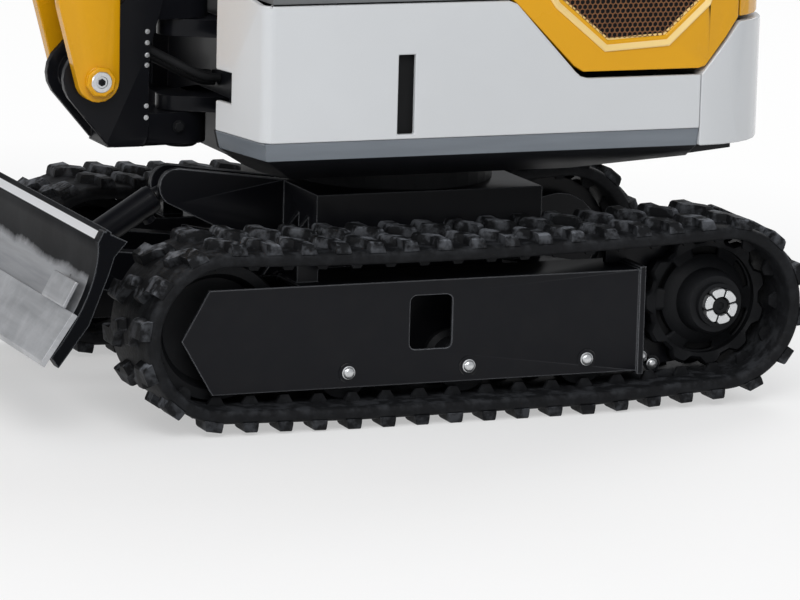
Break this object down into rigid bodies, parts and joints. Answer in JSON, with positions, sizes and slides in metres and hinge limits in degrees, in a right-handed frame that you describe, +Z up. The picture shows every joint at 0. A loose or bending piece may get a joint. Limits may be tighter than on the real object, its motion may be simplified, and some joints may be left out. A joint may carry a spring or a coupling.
{
  "type": "mini excavator",
  "caption": "Compact tracked excavator with a canopy, a dozer blade, a slewing house and a swing-mounted boom, arm and bucket worked by cylinders.",
  "frame": {"origin": "on the floor, under the middle of the parked machine's box", "axes": "+X forward to the blade and bucket, +Y to the machine's left, +Z up"},
  "size_m": [2.478, 1, 2.3557],
  "materials": {
    "track_rubber": "matt moulded rubber",
    "black_paint": "semi-gloss black paint",
    "cast_parts": "black painted castings",
    "worn_steel": "bright worn steel",
    "white_paint": "gloss off-white paint",
    "yellow_paint": "gloss deep yellow paint",
    "grille_mesh": "dark honeycomb mesh",
    "seat_vinyl": "matt black vinyl",
    "floor_mat": "ribbed grey mat",
    "console_plastic": "grained black plastic",
    "roof_paint": "satin black paint",
    "rod_chrome": "polished chrome"
  },
  "bodies": {
    "undercarriage": {"track_left": "track_rubber", "track_right": "track_rubber", "track_frame_left": "black_paint", "track_frame_right": "black_paint", "idler_left": "cast_parts", "idler_right": "cast_parts", "sprocket_left": "cast_parts", "sprocket_right": "cast_parts", "travel_motor_left": "cast_parts", "travel_motor_right": "cast_parts", "roller_left_1": "cast_parts", "roller_left_2": "cast_parts", "roller_left_3": "cast_parts", "roller_right_1": "cast_parts", "roller_right_2": "cast_parts", "roller_right_3": "cast_parts", "car_body": "black_paint", "slew_ring": "cast_parts"},
    "house": {"house_deck": "black_paint", "front_frame": "black_paint", "side_panel_left": "white_paint", "side_panel_right": "white_paint", "counterweight": "white_paint", "floor_plate": "floor_mat", "engine_cover_left": "yellow_paint", "engine_cover_right": "yellow_paint", "grille_left": "grille_mesh", "grille_right": "grille_mesh", "bulkhead": "black_paint", "engine_top_cover": "yellow_paint", "engine_block": "cast_parts", "seat_base": "black_paint", "seat_cushion": "seat_vinyl", "seat_back": "seat_vinyl", "console_left": "console_plastic", "console_right": "console_plastic", "travel_levers": "console_plastic", "canopy_frame": "black_paint", "canopy_roof": "roof_paint"},
    "rear_hood": {"rear_hood": "yellow_paint"},
    "swing_post": {"swing_post": "black_paint"},
    "boom": {"boom": "yellow_paint"},
    "arm": {"arm": "yellow_paint"},
    "bucket": {"bucket": "yellow_paint"},
    "blade": {"blade": "black_paint", "cutting_edge": "worn_steel"},
    "rocker_link": {"rocker_link": "black_paint"},
    "push_link": {"push_link": "black_paint"},
    "boom_cylinder_barrel": {"boom_cylinder_barrel": "black_paint"},
    "boom_cylinder_rod": {"boom_cylinder_rod": "rod_chrome"},
    "arm_cylinder_barrel": {"arm_cylinder_barrel": "black_paint"},
    "arm_cylinder_rod": {"arm_cylinder_rod": "rod_chrome"},
    "bucket_cylinder_barrel": {"bucket_cylinder_barrel": "black_paint"},
    "bucket_cylinder_rod": {"bucket_cylinder_rod": "rod_chrome"},
    "blade_cylinder_barrel": {"blade_cylinder_barrel": "black_paint"},
    "blade_cylinder_rod": {"blade_cylinder_rod": "rod_chrome"}
  },
  "joints": [
    {"name": "house_slew", "type": "hinge", "parent": "undercarriage", "child": "house", "pos_m": [-0.54023, 0, 0], "axis": [0, 0, 1], "continuous": true},
    {"name": "boom_swing", "type": "hinge", "parent": "house", "child": "swing_post", "pos_m": [-0.09123, 0, 0], "axis": [0, 0, 1], "range_deg": [-55, 60]},
    {"name": "boom_lift", "type": "hinge", "parent": "swing_post", "child": "boom", "pos_m": [0.10777, 0, 0.624], "axis": [0, 1, 0], "range_deg": [-5, 105]},
    {"name": "arm_reach", "type": "hinge", "parent": "boom", "child": "arm", "pos_m": [0.86977, 0, 2.146], "axis": [0, -1, 0], "range_deg": [-5, 110]},
    {"name": "bucket_tilt", "type": "hinge", "parent": "arm", "child": "bucket", "pos_m": [1.06728, 0, 1.21676], "axis": [0, -1, 0], "range_deg": [-5, 165]},
    {"name": "blade_drop", "type": "hinge", "parent": "undercarriage", "child": "blade", "pos_m": [-0.24023, 0, 0.232], "axis": [0, 1, 0], "range_deg": [-4, 33]},
    {"name": "rear_hood_hinge", "type": "hinge", "parent": "house", "child": "rear_hood", "pos_m": [-1.08473, -0.463, 0.9], "axis": [0, 0, 1], "range_deg": [0, 95]},
    {"name": "boom_cylinder_pivot", "type": "hinge", "parent": "swing_post", "child": "boom_cylinder_barrel", "pos_m": [-0.02523, 0, 0.874], "axis": [0, 1, 0], "range_deg": [-5.3, 107.8]},
    {"name": "boom_cylinder_slide", "type": "slide", "parent": "boom_cylinder_barrel", "child": "boom_cylinder_rod", "axis": [0.0464, 0, 0.9989], "range_m": [-0.0223, 0.44837]},
    {"name": "arm_cylinder_pivot", "type": "hinge", "parent": "boom", "child": "arm_cylinder_barrel", "pos_m": [0.21779, 0, 1.74912], "axis": [0, -1, 0], "range_deg": [-0.3, 3]},
    {"name": "arm_cylinder_slide", "type": "slide", "parent": "arm_cylinder_barrel", "child": "arm_cylinder_rod", "axis": [0.7841, 0, 0.6206], "range_m": [-0.31007, 0.01505]},
    {"name": "rocker_pivot", "type": "hinge", "parent": "arm", "child": "rocker_link", "pos_m": [1.03194, 0, 1.38305], "axis": [0, -1, 0], "range_deg": [-3.4, 107.5]},
    {"name": "push_link_pivot", "type": "hinge", "parent": "rocker_link", "child": "push_link", "pos_m": [1.20856, 0, 1.22803], "axis": [0, -1, 0], "range_deg": [-57.2, 1.9]},
    {"name": "bucket_cylinder_pivot", "type": "hinge", "parent": "arm", "child": "bucket_cylinder_barrel", "pos_m": [0.97317, 0, 2.20785], "axis": [0, -1, 0], "range_deg": [-0.2, 0.8]},
    {"name": "bucket_cylinder_slide", "type": "slide", "parent": "bucket_cylinder_barrel", "child": "bucket_cylinder_rod", "axis": [0.2336, 0, -0.9723], "range_m": [-0.37954, 0.01247]},
    {"name": "blade_cylinder_pivot", "type": "hinge", "parent": "undercarriage", "child": "blade_cylinder_barrel", "pos_m": [-0.07623, 0, 0.4], "axis": [0, 1, 0], "range_deg": [-4, 31.9]},
    {"name": "blade_cylinder_slide", "type": "slide", "parent": "blade_cylinder_barrel", "child": "blade_cylinder_rod", "axis": [0.8498, 0, -0.527], "range_m": [-0.01714, 0.13413]}
  ],
  "couplings": [
    {"joint": "boom_cylinder_pivot", "follows": "boom_lift", "ratio": 1.0252},
    {"joint": "boom_cylinder_slide", "follows": "boom_lift", "m_per_rad": 0.24412},
    {"joint": "arm_cylinder_pivot", "follows": "arm_reach", "ratio": 0.02559},
    {"joint": "arm_cylinder_slide", "follows": "arm_reach", "m_per_rad": -0.16099},
    {"joint": "rocker_pivot", "follows": "bucket_tilt", "ratio": 0.65057},
    {"joint": "push_link_pivot", "follows": "bucket_tilt", "ratio": -0.34567},
    {"joint": "bucket_cylinder_pivot", "follows": "bucket_tilt", "ratio": 0.004044},
    {"joint": "bucket_cylinder_slide", "follows": "bucket_tilt", "m_per_rad": -0.13145},
    {"joint": "blade_cylinder_pivot", "follows": "blade_drop", "ratio": 0.96305},
    {"joint": "blade_cylinder_slide", "follows": "blade_drop", "m_per_rad": 0.23115}
  ]
}
